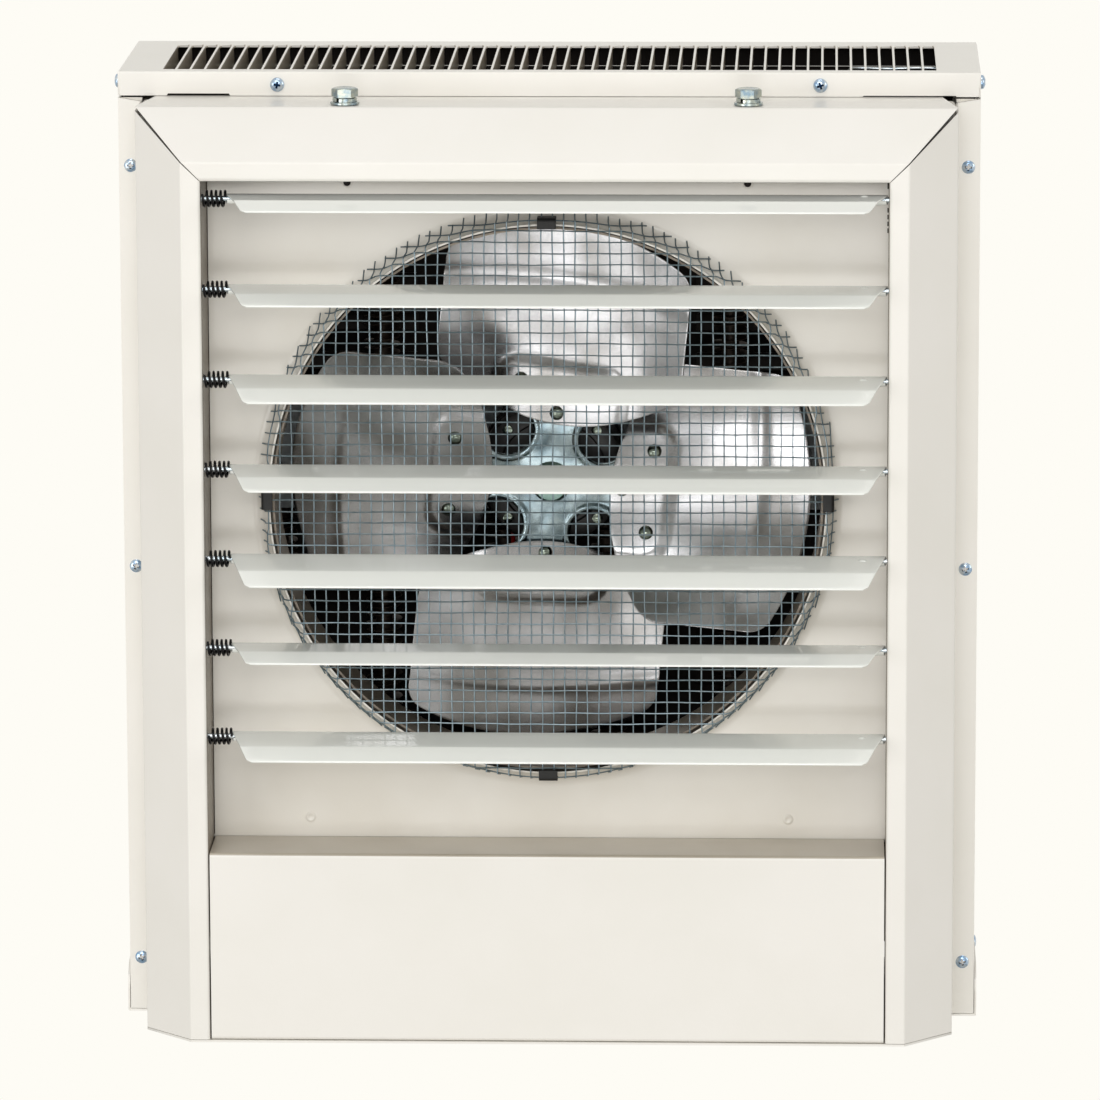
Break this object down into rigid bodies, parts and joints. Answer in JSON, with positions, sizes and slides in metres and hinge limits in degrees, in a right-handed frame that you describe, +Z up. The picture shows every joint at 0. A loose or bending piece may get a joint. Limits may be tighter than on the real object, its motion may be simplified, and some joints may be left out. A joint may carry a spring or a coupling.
{
  "type": "ceiling mounted fan heater",
  "caption": "Square sheet-steel fan heater hung from two bolts, with a louvred front, a guarded axial fan, finned heating elements and a hinged bottom door.",
  "frame": {"origin": "midway between the two hanger bolts, on the top flange of the bezel", "axes": "+Z up, front (louvres) towards -Y, +X to the right seen from the front"},
  "size_m": [0.4872, 0.2206, 0.54],
  "materials": {
    "ivory_enamel": "warm ivory baked enamel, satin",
    "louver_enamel": "cool white baked enamel, semi-gloss",
    "zinc_steel": "bright blue-white zinc plate",
    "galvanised_wire": "galvanised welded wire",
    "fan_aluminium": "mill finish aluminium sheet",
    "black_spring": "black oxide spring wire",
    "black_clip": "black phosphate spring clip",
    "oxidised_steel": "dark oxidised steel",
    "motor_enamel": "black enamel",
    "phenolic": "dark moulded phenolic"
  },
  "bodies": {
    "cabinet": {"bezel_top": "ivory_enamel", "bezel_left": "ivory_enamel", "bezel_right": "ivory_enamel", "lower_front_panel": "ivory_enamel", "baffle_panel": "ivory_enamel", "case_side_left": "ivory_enamel", "case_side_right": "ivory_enamel", "rear_grille": "ivory_enamel", "top_lid": "ivory_enamel", "hanger_bolt_left": "zinc_steel", "hanger_bolt_right": "zinc_steel", "hanger_washer_left": "zinc_steel", "hanger_washer_right": "zinc_steel", "hanger_nut_left": "zinc_steel", "hanger_nut_right": "zinc_steel", "door_pivot_left": "zinc_steel", "door_pivot_right": "zinc_steel", "motor_bracket": "zinc_steel", "control_tray": "zinc_steel", "fan_guard": "galvanised_wire", "louver_spring_1": "black_spring", "louver_spring_2": "black_spring", "louver_spring_3": "black_spring", "louver_spring_4": "black_spring", "louver_spring_5": "black_spring", "louver_spring_6": "black_spring", "louver_spring_7": "black_spring", "guard_clip_top": "black_clip", "guard_clip_bottom": "black_clip", "guard_clip_left": "black_clip", "guard_clip_right": "black_clip", "fan_shroud": "oxidised_steel", "heating_element_left": "oxidised_steel", "heating_element_center": "oxidised_steel", "heating_element_right": "oxidised_steel", "motor_body": "motor_enamel", "terminal_block": "phenolic", "contactor": "phenolic", "thermal_cutout": "phenolic"},
    "fan": {"fan_shaft": "zinc_steel", "fan_spider": "zinc_steel", "fan_blade_1": "fan_aluminium", "fan_blade_2": "fan_aluminium", "fan_blade_3": "fan_aluminium", "fan_blade_4": "fan_aluminium"},
    "door": {"bottom_door": "ivory_enamel"},
    "louver_1": {"louver_blade_1": "louver_enamel", "louver_rod_1": "zinc_steel"},
    "louver_2": {"louver_blade_2": "louver_enamel", "louver_rod_2": "zinc_steel"},
    "louver_3": {"louver_blade_3": "louver_enamel", "louver_rod_3": "zinc_steel"},
    "louver_4": {"louver_blade_4": "louver_enamel", "louver_rod_4": "zinc_steel"},
    "louver_5": {"louver_blade_5": "louver_enamel", "louver_rod_5": "zinc_steel"},
    "louver_6": {"louver_blade_6": "louver_enamel", "louver_rod_6": "zinc_steel"},
    "louver_7": {"louver_blade_7": "louver_enamel", "louver_rod_7": "zinc_steel"}
  },
  "joints": [
    {"name": "fan_spin", "type": "hinge", "parent": "cabinet", "child": "fan", "pos_m": [0, 0.0543, -0.222], "axis": [0, 1, 0], "continuous": true},
    {"name": "louver_1_tilt", "type": "hinge", "parent": "cabinet", "child": "louver_1", "pos_m": [0, -0.0303, -0.048], "axis": [1, 0, 0], "range_deg": [-22, 58]},
    {"name": "louver_2_tilt", "type": "hinge", "parent": "cabinet", "child": "louver_2", "pos_m": [0, -0.0303, -0.0985], "axis": [1, 0, 0], "range_deg": [-25.5, 54.5]},
    {"name": "louver_3_tilt", "type": "hinge", "parent": "cabinet", "child": "louver_3", "pos_m": [0, -0.0303, -0.149], "axis": [1, 0, 0], "range_deg": [-32, 48]},
    {"name": "louver_4_tilt", "type": "hinge", "parent": "cabinet", "child": "louver_4", "pos_m": [0, -0.0303, -0.1995], "axis": [1, 0, 0], "range_deg": [-30, 50]},
    {"name": "louver_5_tilt", "type": "hinge", "parent": "cabinet", "child": "louver_5", "pos_m": [0, -0.0303, -0.25], "axis": [1, 0, 0], "range_deg": [-36, 44]},
    {"name": "louver_6_tilt", "type": "hinge", "parent": "cabinet", "child": "louver_6", "pos_m": [0, -0.0303, -0.3005], "axis": [1, 0, 0], "range_deg": [-22, 58]},
    {"name": "louver_7_tilt", "type": "hinge", "parent": "cabinet", "child": "louver_7", "pos_m": [0, -0.0303, -0.351], "axis": [1, 0, 0], "range_deg": [-31.5, 48.5]},
    {"name": "door_hinge", "type": "hinge", "parent": "cabinet", "child": "door", "pos_m": [0, 0.148, -0.512], "axis": [1, 0, 0], "range_deg": [0, 90]}
  ]
}
